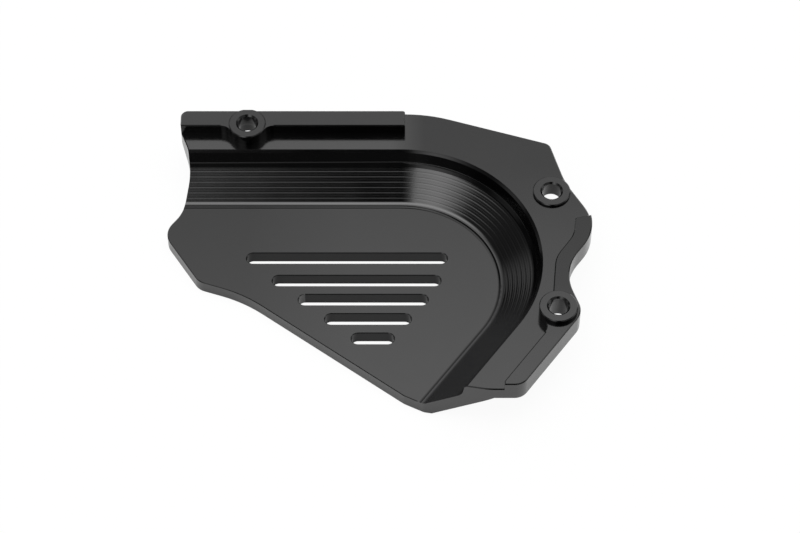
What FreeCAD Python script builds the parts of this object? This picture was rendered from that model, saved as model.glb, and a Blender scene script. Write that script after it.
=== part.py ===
import FreeCAD, Part
import math
import os

# Motorcycle front sprocket cover, milled from one piece of aluminium plate.
# Lengths are millimetres and angles are degrees.
# The working datum is the sprocket axis (x = y = 0) on the inner face of the
# panel (z = 0). The inner side, with the bosses, faces +z. At the end the part
# moves so that its origin is the centre of its box, on the outer face.

# Levels above the inner face of the panel
panel_thickness = 4.75
flange_level = 13.8
flange_thickness = 4.9
pad_rise = 2.8
rail_rise = 4.2
high_boss_rise = 4.5
low_boss_rise = 1.0

# Pocket round the sprocket: a straight run, an arc and a slanted run
run_slant = 54.8
mouth_radius = 47.75
mouth_chamfer = 0.9
wall_foot_radius = 46.3
wall_lean = 0.6
cone_foot_radius = 34.7
cone_angle = 36.5
foot_fillet = 2.6
wall_fillet = 4.2

# Ribs round the cone, each a wide land and a narrow one, and the grooves at its foot
rib_count = 6
rib_foot_margin = 0.17
rib_top_margin = 0.5
rib_valley_depth = 0.05
wide_land_height = 0.021
narrow_land = 0.9
narrow_land_height = 0.016
groove_radius = 32.7
groove_spacing = 0.95
groove_width = 0.36
groove_depth = 0.24

# Outer side: the cone that follows the pocket wall
relief_radius = 37.3

# Outline: its full depth from the top edge to the bottom edge
part_depth = 117.65
# Outline: straight edges by their distance from the sprocket axis
left_edge = 76.7
bottom_edge = 53.65
slant_edge = 63.2
# Outline: corners that hang from the top edge, as x, drop and corner radius
tail_hollow = (-72.7, 19.1, 33.0)
shoulder = (51.5, 13.7, 3.2)
# Outline: free corners as x, y and corner radius
tail_bend = (-76.15, 30.0, 15.0)
tail_tip = (-82.2, 21.7, 7.5)
heel = (-69.1, 0.7, 6.0)
long_edge_bend = (-53.7, -4.6, 50.0)
toe_bend = (0.9, -46.6, 6.0)
toe = (7.5, -49.95, 4.0)
waist = (54.1, -6.8, 20.0)
hip = (68.1, 12.9, 18.0)
shoulder_bend = (56.3, 33.4, 30.0)
tail_shoulder_drop = 8.7
tail_shoulder_radius = 4.0
tail_corner_radius = 4.0
bottom_bend_x = 28.5
bottom_bend_radius = 25.0
bottom_corner_radius = 5.0
top_bend_x = 9.3
top_bend_radius = 50.0

# Rail along the top edge, with its free end on the right
rail_setback = 2.1
rail_width = 6.9
rail_end_x = 1.35
rail_corner_radius = 2.5
rail_end_radius = 0.8

# Raised pad inside the right-hand edge
pad_width = 5.7
pad_foot_x = 33.6
pad_neck = (50.3, -18.8)
pad_waist = (51.8, -1.4, 12.0)
pad_hip = (58.3, 8.3, 10.0)
pad_end = (59.05, 15.4)
pad_end_slope = 14.0
pad_end_radius = 1.0

# Bolt bosses: one on the rail and two at the right
boss_radius = 6.45
boss_chamfer = 0.3
boss_fillet = 4.0
rail_boss_x = -53.5
rail_boss_inset = 0.95
upper_boss = (51.55, 28.55)
lower_boss = (52.0, -23.1)
bolt_bore = 6.6
bore_chamfer = 0.6
head_bore = 11.0
rail_boss_grip = 8.0
lower_boss_grip = 8.8

# Slots through the panel, from the longest down
slot_count = 5
slot_width = 4.5
slot_first_y = 10.75
slot_first_gap = 9.6
slot_pitch = 8.12
slot_left_x = -53.0
slot_left_step = 9.06
slot_guide_radius = 36.0
slot_guide_offset = 11.5

# Small chamfers on the upper edges, and finer ones on the panel and its slots
edge_break = 0.35
panel_edge_break = 0.22

# Working clearances of the cutters
reach = 200.0
overcut = 1.0

top_edge = part_depth - bottom_edge
rail_outer_y = top_edge - rail_setback
rail_inner_y = rail_outer_y - rail_width
rail_boss = (rail_boss_x, rail_inner_y + rail_boss_inset)
panel_back = -panel_thickness
flange_back = flange_level - flange_thickness
pad_level = flange_level + pad_rise
rail_level = flange_level + rail_rise
high_level = flange_level + high_boss_rise
low_level = flange_level + low_boss_rise
cutter_top = high_level + overcut

UP = FreeCAD.Vector(0, 0, 1)
AXIS = FreeCAD.Vector(0, 0, 0)


def vec(x, y, z=0.0):
    return FreeCAD.Vector(x, y, z)


def heading(angle):
    """Unit vector in plan at an angle from +x."""
    return vec(math.cos(math.radians(angle)), math.sin(math.radians(angle)))


def meet(point_a, angle_a, point_b, angle_b):
    """Point where two lines cross, each given by a point and a heading."""
    a, b = heading(angle_a), heading(angle_b)
    gap = point_b - point_a
    along = (gap.x * b.y - gap.y * b.x) / (a.x * b.y - a.y * b.x)
    return point_a + a * along


def rounded_wire(corners, z=0.0):
    """Closed wire through corners (x, y, radius), each rounded by a tangent arc."""
    points = [vec(x, y, z) for x, y, _ in corners]
    starts, mids, ends = [], [], []
    for i, (_, _, radius) in enumerate(corners):
        point = points[i]
        back = points[i - 1] - point
        ahead = points[(i + 1) % len(points)] - point
        half = back.getAngle(ahead) / 2
        room = 0.5 * min(back.Length, ahead.Length)
        run = min(radius / math.tan(half), room)
        bisector = (back.normalize() + ahead.normalize()).normalize()
        to_arc = run / math.cos(half) - run * math.tan(half)
        starts.append(point + back * run)
        mids.append(point + bisector * to_arc)
        ends.append(point + ahead * run)
    edges = []
    for i, (_, _, radius) in enumerate(corners):
        if (starts[i] - ends[i - 1]).Length > 1e-6:
            edges.append(Part.LineSegment(ends[i - 1], starts[i]).toShape())
        if radius > 0:
            edges.append(Part.Arc(starts[i], mids[i], ends[i]).toShape())
    return Part.Wire(edges)


def prism(wire, bottom, top):
    """Straight solid on a plan wire between two levels."""
    solid = Part.Face(wire).extrude(UP * (top - bottom))
    solid.translate(UP * bottom)
    return solid


def broken_prism(wire, bottom, top, chamfer=edge_break):
    """Prism whose upper edges carry a small chamfer."""
    solid = prism(wire, bottom, top)
    rim = [e for e in solid.Edges if min(v.Z for v in e.Vertexes) > top - 1e-6]
    return solid.makeChamfer(chamfer, rim)


def slant_normal():
    """Outward direction of the slanted run and the edge beside it."""
    return heading(run_slant - 90)


def below_top(corner):
    """Corner of the outline from its drop below the top edge."""
    x, drop, radius = corner
    return x, top_edge - drop, radius


def outline_corners():
    """Corners of the plan outline, counter-clockwise from the top left."""
    slant_point = slant_normal() * slant_edge
    foot = meet(vec(0, -bottom_edge), 0, slant_point, run_slant)
    lug_radius = slant_edge - vec(*lower_boss).dot(slant_normal())
    lug_side = math.degrees(math.atan2(waist[1] - lower_boss[1], waist[0] - lower_boss[0]))
    lug_reach = math.hypot(waist[1] - lower_boss[1], waist[0] - lower_boss[0])
    lug_heading = lug_side + math.degrees(math.asin(lug_radius / lug_reach))
    lug = meet(vec(waist[0], waist[1]), lug_heading, slant_point, run_slant)
    return [
        (-left_edge, top_edge, tail_corner_radius),
        (-left_edge, top_edge - tail_shoulder_drop, tail_shoulder_radius),
        below_top(tail_hollow),
        tail_bend,
        tail_tip,
        heel,
        long_edge_bend,
        toe_bend,
        toe,
        (bottom_bend_x, -bottom_edge, bottom_bend_radius),
        (foot.x, foot.y, bottom_corner_radius),
        (lug.x, lug.y, lug_radius),
        waist,
        hip,
        shoulder_bend,
        below_top(shoulder),
        (top_bend_x, top_edge, top_bend_radius),
    ]


def rib_edges(start, end):
    """Ribs side by side along the cone: two rounded lands each, with a valley between."""
    slope = (end - start).normalize()
    outward = vec(-slope.z, 0, slope.x)
    first = start + slope * rib_foot_margin
    pitch = ((end - start).Length - rib_foot_margin - rib_top_margin) / rib_count
    edges = [Part.LineSegment(start, first).toShape()]
    for i in range(rib_count):
        crease = first + slope * (i * pitch)
        valley = crease + slope * (pitch - narrow_land) - outward * rib_valley_depth
        last = first + slope * ((i + 1) * pitch)
        wide_crest = (crease + valley) * 0.5 + outward * wide_land_height
        narrow_crest = (valley + last) * 0.5 + outward * narrow_land_height
        edges.append(Part.Arc(crease, wide_crest, valley).toShape())
        edges.append(Part.Arc(valley, narrow_crest, last).toShape())
    edges.append(Part.LineSegment(last, end).toShape())
    return edges


def groove_points():
    """Two fine vee grooves in the panel at the foot of the pocket wall."""
    points = []
    for i in range(2):
        middle = groove_radius + i * groove_spacing
        points.append(vec(middle - groove_width / 2, 0, 0))
        points.append(vec(middle, 0, -groove_depth))
        points.append(vec(middle + groove_width / 2, 0, 0))
    return points


def hollow_fillet(before, corner, after, radius):
    """Arc of a rounded inside corner in a section, as its three points."""
    back = (before - corner).normalize()
    ahead = (after - corner).normalize()
    half = back.getAngle(ahead) / 2
    run = radius / math.tan(half)
    bisector = (back + ahead).normalize()
    mid = corner + bisector * (radius / math.sin(half) - radius)
    return corner + back * run, mid, corner + ahead * run


def pocket_section():
    """Half section of the pocket, from the sprocket axis out to its mouth."""
    slope = vec(math.cos(math.radians(cone_angle)), 0, math.sin(math.radians(cone_angle)))
    foot = vec(cone_foot_radius, 0, 0)
    wall_foot = foot + slope * ((wall_foot_radius - cone_foot_radius) / slope.x)
    chamfer_foot = vec(wall_foot_radius + wall_lean, 0, flange_level - mouth_chamfer)
    mouth = vec(mouth_radius, 0, flange_level)
    low = hollow_fillet(AXIS, foot, wall_foot, foot_fillet)
    high = hollow_fillet(foot, wall_foot, chamfer_foot, wall_fillet)
    floor = [vec(0, 0, cutter_top), AXIS] + groove_points() + [low[0]]
    edges = list(Part.makePolygon(floor).Edges)
    edges.append(Part.Arc(*low).toShape())
    edges.extend(rib_edges(low[2], high[0]))
    edges.append(Part.Arc(*high).toShape())
    rim = [high[2], chamfer_foot, mouth, vec(mouth_radius, 0, cutter_top), floor[0]]
    edges.extend(Part.makePolygon(rim).Edges)
    return Part.Face(Part.Wire(edges))


def relief_section():
    """Half section of the metal taken away outside the pocket wall."""
    rise = flange_back - panel_back
    cone_end = relief_radius + rise / math.tan(math.radians(cone_angle))
    below = overcut / math.tan(math.radians(cone_angle))
    return Part.Face(Part.makePolygon([
        vec(relief_radius - below, 0, panel_back - overcut),
        vec(cone_end, 0, flange_back),
        vec(reach, 0, flange_back),
        vec(reach, 0, panel_back - overcut),
        vec(relief_radius - below, 0, panel_back - overcut),
    ]))


def along_runs(section):
    """Carry a half section along the straight run, the arc and the slanted run."""
    slanted = section.copy()
    slanted.rotate(AXIS, UP, run_slant - 90)
    straight = section.copy()
    straight.rotate(AXIS, UP, 90)
    return [
        straight.extrude(vec(-reach, 0)),
        slanted.revolve(AXIS, UP, 180 - run_slant),
        slanted.extrude(heading(run_slant) * -reach),
    ]


def pocket_heart(bottom=0.0):
    """Open space between the two runs, on the far side of the sprocket axis."""
    far = heading(run_slant) * -reach
    wedge = Part.makePolygon([AXIS, vec(-reach, 0), vec(-reach, far.y), far, AXIS])
    return prism(wedge, bottom, cutter_top)


def panel_edge_cutters(outline):
    """Small chamfer along the free edges of the panel's inner face."""
    near = groove_radius - groove_width / 2
    strip = Part.Face(Part.makePolygon([
        vec(0, 0, -panel_edge_break),
        vec(near, 0, -panel_edge_break),
        vec(near, 0, 0),
        AXIS,
        vec(0, 0, -panel_edge_break),
    ]))
    kept = broken_prism(outline, panel_back, 0, panel_edge_break)
    layers = along_runs(strip) + [pocket_heart(-panel_edge_break)]
    return [layer.cut(kept) for layer in layers]


def pad():
    """Raised pad along the right-hand edge, with a sloped upper end."""
    slant_point = slant_normal() * (slant_edge - pad_width)
    foot = meet(vec(pad_foot_x, 0), 90, slant_point, run_slant)
    turn = meet(vec(*lower_boss), run_slant - 90, slant_point, run_slant)
    past = vec(*pad_end) + heading(pad_end_slope) * reach
    inside = rounded_wire([
        (foot.x, -reach, 0),
        (foot.x, foot.y, 0),
        (turn.x, turn.y, 0),
        (pad_neck[0], pad_neck[1], 0),
        pad_waist,
        pad_hip,
        (pad_end[0], pad_end[1], pad_end_radius),
        (past.x, past.y, 0),
        (past.x, reach, 0),
        (-reach, reach, 0),
        (-reach, -reach, 0),
    ])
    plan = Part.Face(rounded_wire(outline_corners())).cut(Part.Face(inside))
    return broken_prism(plan.Faces[0].OuterWire, flange_back, pad_level)


def rail():
    """Straight rail along the top, ending square on the right."""
    plan = rounded_wire([
        (-left_edge, rail_outer_y, rail_corner_radius),
        (-left_edge, rail_inner_y, 0),
        (rail_end_x, rail_inner_y, 0),
        (rail_end_x, rail_outer_y, rail_end_radius),
    ])
    return broken_prism(plan, flange_back, rail_level)


def web(centre, wall_point, wall_heading, side, top):
    """Concave corner between a boss and a wall.

    The open floor lies to the right of the wall's heading, and side is +1 for
    the corner ahead of the boss and -1 for the one behind it.
    """
    ahead = heading(wall_heading)
    open_side = heading(wall_heading - 90)
    gap = vec(*centre) - wall_point
    across = gap.dot(open_side)
    foot = wall_point + ahead * gap.dot(ahead)
    along = math.sqrt((boss_radius + boss_fillet) ** 2 - (boss_fillet - across) ** 2)
    middle = foot + ahead * (side * along) + open_side * boss_fillet
    on_wall = middle - open_side * boss_fillet
    on_boss = vec(*centre) + (middle - vec(*centre)).normalize() * boss_radius
    behind = open_side * -overcut
    plan = Part.makePolygon([on_wall, on_boss, vec(*centre), foot + behind, on_wall + behind, on_wall])
    block = prism(plan, flange_back, top)
    scoop = Part.makeCylinder(boss_fillet, reach, vec(middle.x, middle.y, flange_back - overcut))
    return block.cut(scoop)


def round_boss(centre, top):
    """Round bolt boss with a chamfered face."""
    plan = Part.Wire(Part.makeCircle(boss_radius, vec(*centre)))
    return broken_prism(plan, flange_back, top, boss_chamfer)


def flush_boss(centre, top):
    """Round bolt boss cut off flush with the rail's outer wall."""
    behind = Part.makeBox(2 * reach, reach, reach, vec(-reach, rail_outer_y))
    return round_boss(centre, top).cut(behind)


def bolt_hole(centre, top, seat):
    """Clearance bore, its chamfer at the boss face and the bolt head's recess."""
    x, y = centre
    bore = Part.makeCylinder(bolt_bore / 2, reach, vec(x, y, -reach / 2))
    wide = bolt_bore / 2 + bore_chamfer + overcut
    low = top - bore_chamfer
    cone = Part.makeCone(bolt_bore / 2, wide, bore_chamfer + overcut, vec(x, y, low))
    recess = Part.makeCylinder(head_bore / 2, seat - panel_back + overcut, vec(x, y, panel_back - overcut))
    return [bore, cone, recess]


def slot_right_x(y):
    """Right-hand guide of the slots: a line beside the slanted run, then an arc."""
    normal = slant_normal()
    centre = normal * (slot_guide_offset - slot_guide_radius)
    turn_y = centre.y + normal.y * slot_guide_radius
    if y < turn_y:
        return (slot_guide_offset - normal.y * y) / normal.x
    return centre.x + math.sqrt(slot_guide_radius ** 2 - (y - centre.y) ** 2)


def slot_wire(left, right, y, margin=0.0, z=0.0):
    """Round-ended outline of one slot, grown by a margin."""
    radius = slot_width / 2 + margin
    return rounded_wire([
        (left - margin, y + radius, radius),
        (left - margin, y - radius, radius),
        (right + margin, y - radius, radius),
        (right + margin, y + radius, radius),
    ], z)


def slots():
    """Round-ended slots with broken edges, in a stack that narrows towards the toe."""
    cutters = []
    for i in range(slot_count):
        y = slot_first_y - (slot_first_gap + (i - 1) * slot_pitch if i else 0)
        left = slot_left_x + i * slot_left_step
        right = slot_right_x(y)
        cutters.append(prism(slot_wire(left, right, y), panel_back - overcut, 0))
        narrow = slot_wire(left, right, y, 0, -panel_edge_break)
        wide = slot_wire(left, right, y, panel_edge_break + overcut, overcut)
        cutters.append(Part.makeLoft([narrow, wide], True, True))
    return cutters


def sprocket_cover():
    """The finished cover, with the datum still at the sprocket axis."""
    outline = rounded_wire(outline_corners())
    wall_foot = vec(0, rail_inner_y)
    raised = [
        pad(),
        rail(),
        web(rail_boss, wall_foot, 0, 1, rail_level),
        web(rail_boss, wall_foot, 0, -1, rail_level),
        web(lower_boss, slant_normal() * (slant_edge - pad_width), run_slant + 180, 1, pad_level),
        flush_boss(rail_boss, high_level),
        round_boss(upper_boss, low_level),
        round_boss(lower_boss, high_level),
    ]
    flange = broken_prism(outline, panel_back, flange_level)
    body = flange.fuse(raised)
    body = body.common(prism(outline, panel_back, high_level))
    body = body.cut(along_runs(pocket_section()) + [pocket_heart()])
    body = body.cut(along_runs(relief_section()))
    body = body.cut(panel_edge_cutters(outline))
    holes = bolt_hole(rail_boss, high_level, high_level - rail_boss_grip)
    holes += bolt_hole(upper_boss, low_level, flange_back)
    holes += bolt_hole(lower_boss, high_level, high_level - lower_boss_grip)
    return body.cut(holes + slots()).removeSplitter()


cover = sprocket_cover()
box = cover.optimalBoundingBox(False)
to_origin = vec(-box.Center.x, -box.Center.y, -box.ZMin)
cover.translate(to_origin)
os.makedirs("parts", exist_ok=True)
cover.exportStep("parts/sprocket_cover.step")
print("sprocket axis at", to_origin)
print("solids", len(cover.Solids), "valid", cover.isValid(), "volume", cover.Volume)
print("box", cover.optimalBoundingBox(False))
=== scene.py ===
import math

import bmesh
import bpy
import numpy as np
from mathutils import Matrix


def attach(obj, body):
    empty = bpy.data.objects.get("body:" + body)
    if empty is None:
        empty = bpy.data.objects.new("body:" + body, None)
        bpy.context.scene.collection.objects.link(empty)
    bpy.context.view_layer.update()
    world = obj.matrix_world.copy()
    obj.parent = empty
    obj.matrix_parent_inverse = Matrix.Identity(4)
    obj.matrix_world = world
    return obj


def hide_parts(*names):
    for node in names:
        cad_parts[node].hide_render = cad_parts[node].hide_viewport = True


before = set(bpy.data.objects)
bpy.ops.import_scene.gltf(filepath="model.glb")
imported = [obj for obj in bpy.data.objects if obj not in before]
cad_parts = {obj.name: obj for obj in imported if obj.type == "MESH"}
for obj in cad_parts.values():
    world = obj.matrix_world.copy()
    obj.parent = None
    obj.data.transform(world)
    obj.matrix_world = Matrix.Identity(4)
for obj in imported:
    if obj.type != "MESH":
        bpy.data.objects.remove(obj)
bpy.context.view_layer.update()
scene = bpy.context.scene
scene.view_settings.view_transform = "Standard"

# Viewpoint: the point looked at, in the part's frame, and the eye's distance and height
LOOK_AT = np.array([0.0075568, 0.001975, 0.00475])
EYE_DISTANCE = 0.9576
EYE_ELEVATION = math.radians(52.63)
LENS_MM = 126.0
SENSOR_MM = 36.0
NEAREST_SEEN = 0.01
FARTHEST_SEEN = 20.0

# Sprocket axis on the inner face of the panel, in the part's frame, in metres
DATUM = np.array([0.00795678, -0.005175, 0.00475])
MM_PER_METRE = 1000

# Section of the pocket in millimetres, as in the part's source
RUN_SLANT = math.radians(54.8)
MOUTH_RADIUS = 47.75
MOUTH_CHAMFER = 0.9
FLANGE_LEVEL = 13.8
WALL_FOOT_RADIUS = 46.3
WALL_LEAN = 0.6
CONE_FOOT_RADIUS = 34.7
CONE_ANGLE = math.radians(36.5)
FOOT_FILLET = 2.6
WALL_FILLET = 4.2
RIB_COUNT = 6
RIB_FOOT_MARGIN = 0.17
RIB_TOP_MARGIN = 0.5
NARROW_LAND = 0.9
GROOVE_RADIUS = 32.7
GROOVE_SPACING = 0.95
GROOVE_WIDTH = 0.36
CHAMFER_FOOT_RADIUS = WALL_FOOT_RADIUS + WALL_LEAN
CHAMFER_FOOT_LEVEL = FLANGE_LEVEL - MOUTH_CHAMFER
OUTER_GROOVE_RADIUS = GROOVE_RADIUS + GROOVE_SPACING

# Rib heights in millimetres for the shading only. They are set for the look of the
# reflections, and differ by up to three hundredths from the solid's ribs.
RIB_VALLEY_DEPTH = 0.024
WIDE_LAND_HEIGHT = 0.027
NARROW_LAND_HEIGHT = 0.0255

# Bosses, rail and slots in millimetres from the sprocket axis, as in the part's source
BOSS_RADIUS = 6.45
RAIL_BOSS = (-53.5, 55.95)
BOSSES = (RAIL_BOSS, (51.55, 28.55), (52.0, -23.1))
RAIL_INNER_Y = 55.0
SLOT_WIDTH = 4.5
SLOT_YS = (10.75, 1.15, -6.97, -15.09, -23.21)
SLOT_LEFT_X = -53.0
SLOT_LEFT_STEP = 9.06

# How the solid's mesh is merged, in metres, which of its edges are shaded smooth, and
# the least radius in millimetres that has a direction
MERGE_GAP = 1e-7
SMOOTH_TURN = math.radians(20)
LEAST_RADIUS = 1e-9

# How facets are told apart: rooms and levels in millimetres, and limits on the upright
# part of a facet's normal or on its product with the expected normal
SECTION_ROOM = 0.05
ALIGNED = 0.8
UPRIGHT = 0.3
SLOT_ROOM = 0.6 * SLOT_WIDTH
SLOT_TOP = -0.1
RAISED_LEVEL = FLANGE_LEVEL + 0.05
BOSS_ROOM = 0.4
RAIL_ROOM = 0.1
COVE_RADIUS = 44.6
COVE_LEVEL = 5.0
COVE_LEAST_UP = 0.02
LIP_LEVEL = FLANGE_LEVEL - 0.01
GROOVE_LEVEL_ROOM = 1.0
GROOVE_LEAST_UP = 0.2
GROOVE_HALF = GROOVE_WIDTH / 2 + 0.02

# Share of the full gloss left on walls that carry painted shade
SLOT_WALL_PAINTED_SHADE_GLOSS = 0.3
BOSS_WALL_PAINTED_SHADE_GLOSS = 0.2
BOSS_WEB_PAINTED_SHADE_GLOSS = 0.3
RAIL_WALL_PAINTED_SHADE_GLOSS = 0.4

# Tables of painted shade by bearing round the pocket, each as bearings in degrees and
# values: the gloss of the cove and the lip, what the painted shade of each groove takes
# from it, and how far the outer groove's painted shade reaches over the facets beside it
COVE_PAINTED_SHADE_GLOSS = ((55, 68, 82, 88), (0.25, 1.0, 1.0, 0.5))
LIP_PAINTED_SHADE_GLOSS = ((20, 55, 68), (0.7, 0.45, 1.0))
INNER_GROOVE_PAINTED_SHADE = ((10, 40, 70, 88), (0.0, 0.5, 0.5, 1.0))
OUTER_GROOVE_PAINTED_SHADE = ((-33, -10, 5, 55, 65, 75, 88), (0.7, 0.8, 1.0, 1.0, 0.8, 0.4, 1.0))
GROOVE_REACH = ((55, 75), (1.0, 0.0))
OUTSIDE_REACH = 0.2
OUTSIDE_REACH_GAIN = 0.5

# Bearings in degrees between which the arc turns into the paler slanted run
PALER_FROM = -8.0
PALER_TO = -30.0

# Black finish: colour, on the slanted run too, index, roughness and grain
BODY_COLOUR = (0.001, 0.001, 0.0011, 1.0)
SLANTED_COLOUR = (0.014, 0.014, 0.0145, 1.0)
FINISH_IOR = 1.65
ROUGHNESS = (0.13, 0.16)
RIB_POLISH = 0.03
CLOUD_SCALE = 90.0
CLOUD_DETAIL = 3.0
CLOUD_RANGE = (0.3, 0.7)
GRAIN_SCALE = 4200.0
GRAIN_DETAIL = 2.0
GRAIN_STRENGTH = 0.04
GRAIN_HEIGHT = 0.00005
# A tone of 1 is the shader's middle specular level, 0.5, and this one is level 1
TOP_TONE = 2.0

# Painted light: tone of the gloss that makes level faces lighter and darker across them,
# in metres in the part's frame: lowest and highest level, axis, place where the tone is
# 1, place where it has changed, and changed tone
LEVEL_FADE = 1e-4
PAINTED_LIGHT_TONES = (
    (0.0183, 0.0188, "Y", 0.0, 0.035, 0.85),     # flange, towards the top edge
    (0.0183, 0.0188, "X", 0.016, 0.004, 1.72),   # flange, between rail and pocket
    (0.0225, 0.0229, "Y", 0.0, 0.04, 1.06),      # rail
    (0.0045, 0.0049, "X", -0.01, -0.045, 0.84),  # panel, towards the tail
    (0.0211, 0.0216, "Y", -0.04, -0.018, 0.75),  # pad, away from its foot
)

# White sheet: half its side and its level in metres, its tone, and the shares of plain
# white that the eye and the part's gloss see
SHEET_HALF = 6.0
SHEET_LEVEL = -0.0002
SHEET_TONE = (0.97, 0.97, 0.97, 1.0)
EYE_GLOW = 0.94
GLOSS_GLOW = 0.4

# Room light: heights of a direction, and the light from the lower and the upper one
ROOM_HEIGHTS = (0.1, 0.85)
ROOM_LEVELS = (0.14, 0.34)
# Dark cards and lamps: direction, stretch along x, degrees from the middle where they
# are full and where they are gone, and strength
CARDS = (
    ((0.0, -0.656, 0.755), 1.0, 14.0, 22.0, 0.95),
    ((-0.80, 0.10, 0.59), 1.0, 18.0, 45.0, 0.55),
)
LAMPS = (
    ((0.0, 0.035, 1.0), 2.0, 8.0, 28.5, 3.2),      # overhead
    ((0.0, 0.61, 0.79), 2.5, 4.0, 28.0, 0.6),      # behind
    ((0.0, 0.515, 0.857), 2.5, 3.0, 9.0, 0.7),     # behind, a narrow one
    ((-0.76, 0.62, 0.21), 1.0, 3.0, 20.0, 0.35),   # low behind, at the left
    ((0.0, -0.945, 0.326), 2.5, 4.0, 13.0, 0.55),  # low in front
    ((-0.97, -0.15, 0.20), 1.0, 6.0, 20.0, 0.5),   # low at the left
    ((0.97, 0.0, 0.22), 1.0, 8.0, 25.0, 0.6),      # low at the right
    ((0.0, 0.0, -1.0), 1.0, 20.0, 85.0, 0.6),      # below, for the outer side
)
FRONT_LAMP = ((-0.26, -0.48, 0.84), 1.0, 6.0, 31.0, 2.2)
# Right-hand side of the front lamp: x where it is dark and x where it is full, for a
# crisp edge and a soft one, and the share of the soft one
CRISP_EDGE = (-0.095, -0.14)
SOFT_EDGE = (-0.02, -0.09)
SOFT_EDGE_SHARE = 0.25


def add_camera():
    """Eye on a circle in the YZ plane through the point looked at."""
    back = np.array([0.0, -math.cos(EYE_ELEVATION), math.sin(EYE_ELEVATION)])
    data = bpy.data.cameras.new("eye")
    data.sensor_fit = "HORIZONTAL"
    data.sensor_width = SENSOR_MM
    data.lens = LENS_MM
    data.clip_start = NEAREST_SEEN
    data.clip_end = FARTHEST_SEEN
    eye = bpy.data.objects.new("eye", data)
    eye.location = LOOK_AT + back * EYE_DISTANCE
    eye.rotation_euler = (math.pi / 2 - EYE_ELEVATION, 0.0, 0.0)
    scene.collection.objects.link(eye)
    scene.camera = eye


def unit(v):
    """Vector divided by its length."""
    return v / np.linalg.norm(v)


def hollow_fillet(before, corner, after, radius):
    """Start, centre and end of the arc in a rounded inside corner of the section.

    With half the angle between the two sides, the arc starts radius / tan(half)
    from the corner, and its centre lies radius / sin(half) along the bisector.
    """
    back, ahead = unit(before - corner), unit(after - corner)
    half = math.acos(float(np.dot(back, ahead))) / 2
    run = radius / math.tan(half)
    centre = corner + unit(back + ahead) * (radius / math.sin(half))
    return corner + back * run, centre, corner + ahead * run


def land_centre(a, b, height):
    """Centre of the arc from a to b that stands a small height above its chord.

    Its radius is (half chord squared + height squared) / (2 * height).
    """
    along = unit(b - a)
    outward = np.array([-along[1], along[0]])
    half = np.linalg.norm(b - a) / 2
    radius = (half * half + height * height) / (2 * height)
    return (a + b) / 2 + outward * (height - radius)


def pocket_pieces():
    """Pieces of the pocket wall in section, from the panel out to the mouth.

    Each is (start, end, centre, sense): the normal at a point p is
    sense * (p - centre), or square to the piece where centre is None. With
    sense 0 the third is the corner between two flats.
    """
    slope = np.array([math.cos(CONE_ANGLE), math.sin(CONE_ANGLE)])
    outward = np.array([-slope[1], slope[0]])
    foot = np.array([CONE_FOOT_RADIUS, 0.0])
    wall_foot = foot + slope * ((WALL_FOOT_RADIUS - CONE_FOOT_RADIUS) / slope[0])
    chamfer_foot = np.array([CHAMFER_FOOT_RADIUS, CHAMFER_FOOT_LEVEL])
    mouth = np.array([MOUTH_RADIUS, FLANGE_LEVEL])
    low = hollow_fillet(np.zeros(2), foot, wall_foot, FOOT_FILLET)
    high = hollow_fillet(foot, wall_foot, chamfer_foot, WALL_FILLET)
    first = low[2] + slope * RIB_FOOT_MARGIN
    length = np.linalg.norm(high[0] - low[2])
    pitch = (length - RIB_FOOT_MARGIN - RIB_TOP_MARGIN) / RIB_COUNT
    pieces = [(low[0], low[2], low[1], -1), (low[2], first, None, 1)]
    for i in range(RIB_COUNT):
        crease = first + slope * (i * pitch)
        valley = crease + slope * (pitch - NARROW_LAND) - outward * RIB_VALLEY_DEPTH
        last = first + slope * ((i + 1) * pitch)
        pieces.append((crease, valley, land_centre(crease, valley, WIDE_LAND_HEIGHT), 1))
        pieces.append((valley, last, land_centre(valley, last, NARROW_LAND_HEIGHT), 1))
    pieces.append((last, high[0], None, 1))
    turn = high[1] + unit(wall_foot - high[1]) * WALL_FILLET
    pieces.append((high[0], chamfer_foot, turn, 0))
    pieces.append((chamfer_foot, mouth, None, 1))
    return pieces


def path_place(points):
    """Distance from the sprocket's path and outward direction at points in millimetres.

    The path is a straight run towards -x, an arc about the axis and a slanted
    run, so the distance is y, hypot(x, y) or the distance from the slanted line.
    """
    x, y = points[:, 0], points[:, 1]
    tangent = np.array([math.cos(RUN_SLANT), math.sin(RUN_SLANT)])
    normal = np.array([tangent[1], -tangent[0]])
    radius = np.hypot(x, y)
    distance = radius.copy()
    outward = np.stack([x, y], 1) / np.maximum(radius, LEAST_RADIUS)[:, None]
    straight = (x < 0) & (y > 0)
    slanted = (points[:, :2] @ tangent < 0) & (points[:, :2] @ normal > 0)
    distance[straight] = y[straight]
    outward[straight] = (0.0, 1.0)
    distance[slanted] = (points[:, :2] @ normal)[slanted]
    outward[slanted] = normal
    return distance, outward


def bearings(outward):
    """Bearing of outward directions round the pocket, in degrees from +x."""
    return np.degrees(np.arctan2(outward[:, 1], outward[:, 0]))


def section_normals(section, piece):
    """Normals in the section plane at points on one piece of the pocket wall.

    A flat's is square to it, an arc's points from or to its centre, and two
    flats take turns at the corner between them.
    """
    start, end, centre, sense = piece
    if centre is None:
        along = unit(end - start)
        return np.tile([-along[1], along[0]], (len(section), 1))
    if sense == 0:
        before = section[:, :1] < centre[0]
        along = np.where(before, unit(centre - start), unit(end - centre))
        return np.stack([-along[:, 1], along[:, 0]], 1)
    arms = sense * (section - centre)
    return arms / np.linalg.norm(arms, axis=1)[:, None]


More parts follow.
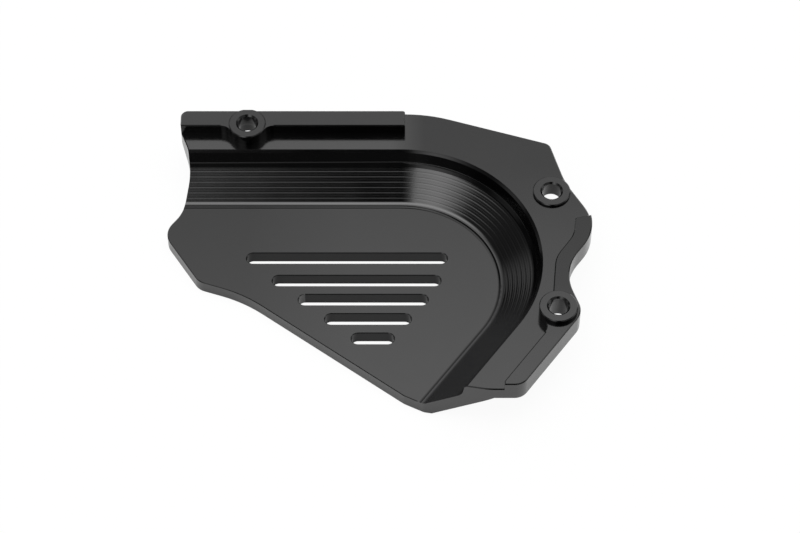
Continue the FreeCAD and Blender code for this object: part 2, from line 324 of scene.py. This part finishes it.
class Facets:
    """Triangles of a mesh as arrays, in millimetres from the datum."""

    def __init__(self, mesh):
        vertex = np.empty(len(mesh.loops), int)
        mesh.loops.foreach_get("vertex_index", vertex)
        points = np.empty(len(mesh.vertices) * 3)
        mesh.vertices.foreach_get("co", points)
        normals = np.empty(len(mesh.polygons) * 3)
        mesh.polygons.foreach_get("normal", normals)
        self.vertex = vertex
        self.points = (points.reshape(-1, 3) - DATUM) * MM_PER_METRE
        self.normals = normals.reshape(-1, 3)
        self.middle = self.points[vertex.reshape(-1, 3)].mean(axis=1)
        self.distance, self.outward = path_place(self.points)
        self.corner_distance = self.distance[vertex].reshape(-1, 3)
        self.middle_distance = self.corner_distance.mean(axis=1)
        self.middle_outward = path_place(self.middle)[1]


def pocket_normals(facets, normals):
    """Put the normals of the drawn section on the corners of the pocket wall.

    A section normal (across, up) becomes across * outward direction, and up.
    Returns a mark for each corner, 1.0 on the wall and 0.0 elsewhere.
    """
    mark = np.zeros(len(facets.vertex))
    level = facets.middle[:, 2]
    across = (facets.normals[:, :2] * facets.middle_outward).sum(axis=1)
    for piece in pocket_pieces():
        start, end, _, _ = piece
        on = (facets.middle_distance > start[0]) & (facets.middle_distance < end[0])
        on &= (level > start[1] - SECTION_ROOM) & (level < end[1] + SECTION_ROOM)
        expected = section_normals(np.array([(start + end) / 2]), piece)[0]
        on &= across * expected[0] + facets.normals[:, 2] * expected[1] > ALIGNED
        at = np.flatnonzero(np.repeat(on, 3))
        vertex = facets.vertex[at]
        section = np.stack([facets.distance[vertex], facets.points[vertex, 2]], 1)
        flat = section_normals(section, piece)
        normals[at, :2] = flat[:, :1] * facets.outward[vertex]
        normals[at, 2] = flat[:, 1]
        mark[at] = 1.0
    return mark


def slanted_share(facets):
    """Share of the slanted run at each vertex: from 0 to 1 over the end of the arc."""
    past = (PALER_FROM - bearings(facets.outward)) / (PALER_FROM - PALER_TO)
    return np.clip(past, 0.0, 1.0)


def wall_painted_shade(facets):
    """Share of the full gloss on each facet: painted shade lowers it on the walls of slots,
    bosses and rail.
    """
    share = np.ones(len(facets.middle))
    x, y, z = facets.middle.T
    upright = np.abs(facets.normals[:, 2]) < UPRIGHT
    in_panel = upright & (z < SLOT_TOP) & (facets.middle_distance < GROOVE_RADIUS)
    for i, slot_y in enumerate(SLOT_YS):
        left = SLOT_LEFT_X + i * SLOT_LEFT_STEP
        near = (np.abs(y - slot_y) < SLOT_ROOM) & (x > left - SLOT_ROOM)
        share[near & in_panel] = SLOT_WALL_PAINTED_SHADE_GLOSS
    raised = upright & (z > RAISED_LEVEL)
    for boss_x, boss_y in BOSSES:
        off = np.abs(np.hypot(x - boss_x, y - boss_y) - BOSS_RADIUS)
        share[raised & (off < BOSS_ROOM)] = BOSS_WALL_PAINTED_SHADE_GLOSS
    web = np.abs(x - RAIL_BOSS[0]) < 2 * BOSS_RADIUS
    web &= (y > RAIL_INNER_Y - BOSS_RADIUS) & (y < RAIL_INNER_Y + RAIL_ROOM)
    share[raised & web] = BOSS_WEB_PAINTED_SHADE_GLOSS
    share[raised & (np.abs(y - RAIL_INNER_Y) < RAIL_ROOM)] = RAIL_WALL_PAINTED_SHADE_GLOSS
    return share


def rim_painted_shade(facets, share):
    """Share of the gloss with painted shade on the cove and the lip of the pocket, set by
    bearing.
    """
    z = facets.middle[:, 2]
    distance = facets.middle_distance
    bearing = bearings(facets.middle_outward)
    cove = (distance > COVE_RADIUS) & (distance < CHAMFER_FOOT_RADIUS)
    cove &= (z > COVE_LEVEL) & (z < CHAMFER_FOOT_LEVEL)
    cove &= facets.normals[:, 2] > COVE_LEAST_UP
    lip = (distance > CHAMFER_FOOT_RADIUS) & (distance < MOUTH_RADIUS)
    lip &= (z > CHAMFER_FOOT_LEVEL) & (z < LIP_LEVEL)
    share = np.where(cove, np.interp(bearing, *COVE_PAINTED_SHADE_GLOSS), share)
    return np.where(lip, np.interp(bearing, *LIP_PAINTED_SHADE_GLOSS), share)


def groove_painted_shade(facets, share, normals):
    """Take from each corner's share of the gloss the painted shade of the two grooves.

    The grooves are finer than a facet can shade, so they get the panel's normal,
    and painted shade in the gloss that follows how dark their sides look along the path.
    """
    ring = np.abs(facets.middle[:, 2]) < GROOVE_LEVEL_ROOM
    ring &= facets.normals[:, 2] > GROOVE_LEAST_UP
    ring &= facets.corner_distance.min(axis=1) > GROOVE_RADIUS - GROOVE_WIDTH
    ring &= facets.corner_distance.max(axis=1) < CONE_FOOT_RADIUS
    at = np.flatnonzero(np.repeat(ring, 3))
    bearing = bearings(facets.outward)[facets.vertex[at]]
    distance = facets.distance[facets.vertex[at]]
    middle = np.repeat(facets.middle_distance, 3)[at]
    inner = np.interp(bearing, *INNER_GROOVE_PAINTED_SHADE)
    inner *= np.abs(middle - GROOVE_RADIUS) < GROOVE_HALF
    reach = np.interp(bearing, *GROOVE_REACH)
    outside = OUTSIDE_REACH + OUTSIDE_REACH_GAIN * reach
    outer = np.interp(bearing, *OUTER_GROOVE_PAINTED_SHADE)
    outer = np.where(middle < OUTER_GROOVE_RADIUS - GROOVE_HALF, outer * reach, outer)
    outer = np.where(middle > OUTER_GROOVE_RADIUS + GROOVE_HALF, outer * outside, outer)
    share[at] -= inner * (np.abs(distance - GROOVE_RADIUS) < GROOVE_HALF)
    share[at] -= outer * (np.abs(distance - OUTER_GROOVE_RADIUS) < GROOVE_HALF)
    normals[at[middle < OUTER_GROOVE_RADIUS + GROOVE_HALF]] = (0.0, 0.0, 1.0)


def node(tree, kind, **values):
    """Shader node with its properties and input sockets set by name."""
    made = tree.nodes.new(kind)
    for name, value in values.items():
        if hasattr(made, name):
            setattr(made, name, value)
        else:
            made.inputs[name.replace("_", " ")].default_value = value
    return made


def combine(tree, operation, first, second):
    """One math node on two operands, each a socket or a number."""
    made = node(tree, "ShaderNodeMath", operation=operation)
    for operand, socket in zip((first, second), made.inputs):
        if isinstance(operand, float):
            socket.default_value = operand
        else:
            tree.links.new(operand, socket)
    return made.outputs[0]


def ramp(tree, value, span, ends, kind="LINEAR"):
    """Value carried from the two limits of span to those of ends, and held beyond them."""
    made = node(tree, "ShaderNodeMapRange", interpolation_type=kind,
                From_Min=span[0], From_Max=span[1], To_Min=ends[0], To_Max=ends[1])
    tree.links.new(value, made.inputs["Value"])
    return made.outputs["Result"]


def split_axes(tree, place):
    """X, Y and Z of a place or direction."""
    made = node(tree, "ShaderNodeSeparateXYZ")
    tree.links.new(place, made.inputs[0])
    return made.outputs


def read(tree, name):
    """Number kept on the mesh under a name."""
    return node(tree, "ShaderNodeAttribute", attribute_name=name).outputs["Fac"]


def painted_light_tone(tree, axes, low, high, axis, start, end, tone):
    """Painted light on one level: a tone of the gloss that is 1 at start on the axis, and
    tone from end on.

    It is 1 + within * along, where within is 1 between low and high and 0
    elsewhere, and along goes from 0 to tone - 1.
    """
    above = ramp(tree, axes["Z"], (low - LEVEL_FADE, low), (0.0, 1.0))
    under = ramp(tree, axes["Z"], (high, high + LEVEL_FADE), (1.0, 0.0))
    along = ramp(tree, axes[axis], (start, end), (0.0, tone - 1.0))
    within = combine(tree, "MULTIPLY", above, under)
    return combine(tree, "ADD", combine(tree, "MULTIPLY", within, along), 1.0)


def anodised_black():
    """Dyed oxide on milled metal: near-black body, satin gloss, fine grain.

    Painted shade lowers the gloss in the grooves, on the walls of slots, bosses and rail,
    and on the cove and lip at some bearings, and painted light makes the gloss lighter and
    darker across the flat faces. The ribs are a little smoother, and the slanted run is a
    little paler.
    """
    material = bpy.data.materials.new("anodised_black")
    material.use_nodes = True
    tree = material.node_tree
    link = tree.links.new
    shader = tree.nodes["Principled BSDF"]
    shader.inputs["IOR"].default_value = FINISH_IOR
    place = node(tree, "ShaderNodeTexCoord").outputs["Object"]
    axes = split_axes(tree, place)
    ribbed = read(tree, "ribbed")
    body = node(tree, "ShaderNodeMix", data_type="RGBA")
    link(combine(tree, "MULTIPLY", read(tree, "slanted"), ribbed), body.inputs["Factor"])
    body.inputs["A"].default_value = BODY_COLOUR
    body.inputs["B"].default_value = SLANTED_COLOUR
    link(body.outputs["Result"], shader.inputs["Base Color"])
    cloud = node(tree, "ShaderNodeTexNoise", Scale=CLOUD_SCALE, Detail=CLOUD_DETAIL)
    link(place, cloud.inputs["Vector"])
    rough = ramp(tree, cloud.outputs["Fac"], CLOUD_RANGE, ROUGHNESS)
    polish = combine(tree, "MULTIPLY", ribbed, RIB_POLISH)
    link(combine(tree, "SUBTRACT", rough, polish), shader.inputs["Roughness"])
    # Share of the gloss with painted shade, read from the mesh
    tone = read(tree, "painted_shade_gloss")
    # Each level's tone is painted light that makes the gloss lighter and darker across the
    # face
    for level in PAINTED_LIGHT_TONES:
        tone = combine(tree, "MULTIPLY", tone, painted_light_tone(tree, axes, *level))
    gloss = ramp(tree, tone, (0.0, TOP_TONE), (0.0, 1.0))
    link(gloss, shader.inputs["Specular IOR Level"])
    grain = node(tree, "ShaderNodeTexNoise", Scale=GRAIN_SCALE, Detail=GRAIN_DETAIL)
    link(place, grain.inputs["Vector"])
    bump = node(tree, "ShaderNodeBump", Strength=GRAIN_STRENGTH, Distance=GRAIN_HEIGHT)
    link(grain.outputs["Fac"], bump.inputs["Height"])
    link(bump.outputs["Normal"], shader.inputs["Normal"])
    return material


def merged_mesh(source):
    """Merged copy of a solid's mesh, smooth over its rounds and crisp at its edges.

    The normals at a vertex are weighted by the size of the facets round it.
    """
    raw = source.data.copy()
    work = bmesh.new()
    work.from_mesh(raw)
    bmesh.ops.remove_doubles(work, verts=work.verts, dist=MERGE_GAP)
    for face in work.faces:
        face.smooth = True
    for edge in work.edges:
        edge.smooth = len(edge.link_faces) == 2 and edge.calc_face_angle() < SMOOTH_TURN
    work.to_mesh(raw)
    work.free()
    draft = bpy.data.objects.new("draft", raw)
    scene.collection.objects.link(draft)
    weighted = draft.modifiers.new("face_weighted", "WEIGHTED_NORMAL")
    weighted.keep_sharp = True
    settled = draft.evaluated_get(bpy.context.evaluated_depsgraph_get())
    mesh = bpy.data.meshes.new_from_object(settled)
    bpy.data.objects.remove(draft)
    return mesh


def finished_cover(material):
    """The milled solid with the shading of its pocket and the painted shade in its gloss."""
    mesh = merged_mesh(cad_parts["sprocket_cover"])
    mesh.name = "cover"
    normals = np.empty(len(mesh.loops) * 3)
    mesh.corner_normals.foreach_get("vector", normals)
    normals = normals.reshape(-1, 3)
    facets = Facets(mesh)
    ribbed = pocket_normals(facets, normals)
    # Share of the gloss, lowered by painted shade in grooves, recesses, cove and lip
    painted_shade_gloss = np.repeat(rim_painted_shade(facets, wall_painted_shade(facets)), 3)
    groove_painted_shade(facets, painted_shade_gloss, normals)
    mesh.normals_split_custom_set(normals.tolist())
    for name, domain, values in (("ribbed", "CORNER", ribbed),
                                 ("painted_shade_gloss", "CORNER", painted_shade_gloss),
                                 ("slanted", "POINT", slanted_share(facets))):
        mesh.attributes.new(name, "FLOAT", domain).data.foreach_set("value", values)
    mesh.materials.clear()
    mesh.materials.append(material)
    cover = bpy.data.objects.new("cover", mesh)
    scene.collection.objects.link(cover)
    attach(cover, "root")
    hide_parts("sprocket_cover")


def mix_shaders(tree, share, first, second):
    """Blend of two shaders: first where share is 0, second where it is 1."""
    made = node(tree, "ShaderNodeMixShader")
    for source, socket in zip((share, first.outputs[0], second.outputs[0]), made.inputs):
        tree.links.new(source, socket)
    return made


def white_floor():
    """Flat white sheet just under the part, which keeps its soft shadow.

    The eye and the part's gloss see it mostly as plain white. From below it is
    clear, so that the outer side of the part shows.
    """
    corners = np.array([(-1, -1), (1, -1), (1, 1), (-1, 1)]) * SHEET_HALF
    mesh = bpy.data.meshes.new("floor")
    mesh.from_pydata([(x, y, SHEET_LEVEL) for x, y in corners], [], [(0, 1, 2, 3)])
    floor = bpy.data.objects.new("floor", mesh)
    scene.collection.objects.link(floor)
    material = bpy.data.materials.new("white_sheet")
    material.use_nodes = True
    tree = material.node_tree
    tree.nodes.remove(tree.nodes["Principled BSDF"])
    sheet = node(tree, "ShaderNodeBsdfDiffuse", Color=SHEET_TONE)
    glow = node(tree, "ShaderNodeEmission", Strength=1.0)
    path = node(tree, "ShaderNodeLightPath").outputs
    to_eye = combine(tree, "MULTIPLY", path["Is Camera Ray"], EYE_GLOW)
    to_gloss = combine(tree, "MULTIPLY", path["Is Glossy Ray"], GLOSS_GLOW)
    above = mix_shaders(tree, combine(tree, "MAXIMUM", to_eye, to_gloss), sheet, glow)
    clear = node(tree, "ShaderNodeBsdfTransparent")
    below = node(tree, "ShaderNodeNewGeometry").outputs["Backfacing"]
    whole = mix_shaders(tree, below, above, clear)
    tree.links.new(whole.outputs[0], tree.nodes["Material Output"].inputs["Surface"])
    mesh.materials.append(material)


def lobe(tree, toward, widen, inner, outer, strength):
    """Soft patch of light in the surroundings.

    It is full within inner degrees of its middle and gone at outer degrees, by
    the angle between a direction and the patch's, both with x divided by widen.
    """
    link = tree.links.new
    squeeze = node(tree, "ShaderNodeVectorMath", operation="MULTIPLY")
    link(node(tree, "ShaderNodeTexCoord").outputs["Generated"], squeeze.inputs[0])
    squeeze.inputs[1].default_value = (1 / widen, 1.0, 1.0)
    level = node(tree, "ShaderNodeVectorMath", operation="NORMALIZE")
    link(squeeze.outputs["Vector"], level.inputs[0])
    dot = node(tree, "ShaderNodeVectorMath", operation="DOT_PRODUCT")
    link(level.outputs["Vector"], dot.inputs[0])
    dot.inputs[1].default_value = unit(np.array(toward) / (widen, 1.0, 1.0))
    angle = node(tree, "ShaderNodeMath", operation="ARCCOSINE")
    link(dot.outputs["Value"], angle.inputs[0])
    span = (math.radians(inner), math.radians(outer))
    return ramp(tree, angle.outputs[0], span, (strength, 0.0), "SMOOTHSTEP")


def side_edge(tree, direction_x, dark, full):
    """Straight side of a lamp: 0 from x = dark on, 1 up to x = full."""
    return ramp(tree, direction_x, (full, dark), (1.0, 0.0), "SMOOTHSTEP")


def studio_world():
    """Dim room, brighter higher up, with two dark cards and lamps round the part.

    The light from a direction is the room's, times what each card leaves of it,
    plus every lamp's. The front lamp ends at a straight side.
    """
    world = bpy.data.worlds.new("studio")
    scene.world = world
    world.use_nodes = True
    tree = world.node_tree
    axes = split_axes(tree, node(tree, "ShaderNodeTexCoord").outputs["Generated"])
    light = ramp(tree, axes["Z"], ROOM_HEIGHTS, ROOM_LEVELS, "SMOOTHSTEP")
    for card in CARDS:
        left = combine(tree, "SUBTRACT", 1.0, lobe(tree, *card))
        light = combine(tree, "MULTIPLY", light, left)
    for lamp in LAMPS:
        light = combine(tree, "ADD", light, lobe(tree, *lamp))
    edge = node(tree, "ShaderNodeMix", data_type="FLOAT")
    edge.inputs["Factor"].default_value = SOFT_EDGE_SHARE
    tree.links.new(side_edge(tree, axes["X"], *CRISP_EDGE), edge.inputs["A"])
    tree.links.new(side_edge(tree, axes["X"], *SOFT_EDGE), edge.inputs["B"])
    front = combine(tree, "MULTIPLY", lobe(tree, *FRONT_LAMP), edge.outputs["Result"])
    light = combine(tree, "ADD", light, front)
    sky = tree.nodes["Background"]
    sky.inputs["Color"].default_value = (1.0, 1.0, 1.0, 1.0)
    tree.links.new(light, sky.inputs["Strength"])


add_camera()
finished_cover(anodised_black())
white_floor()
studio_world()
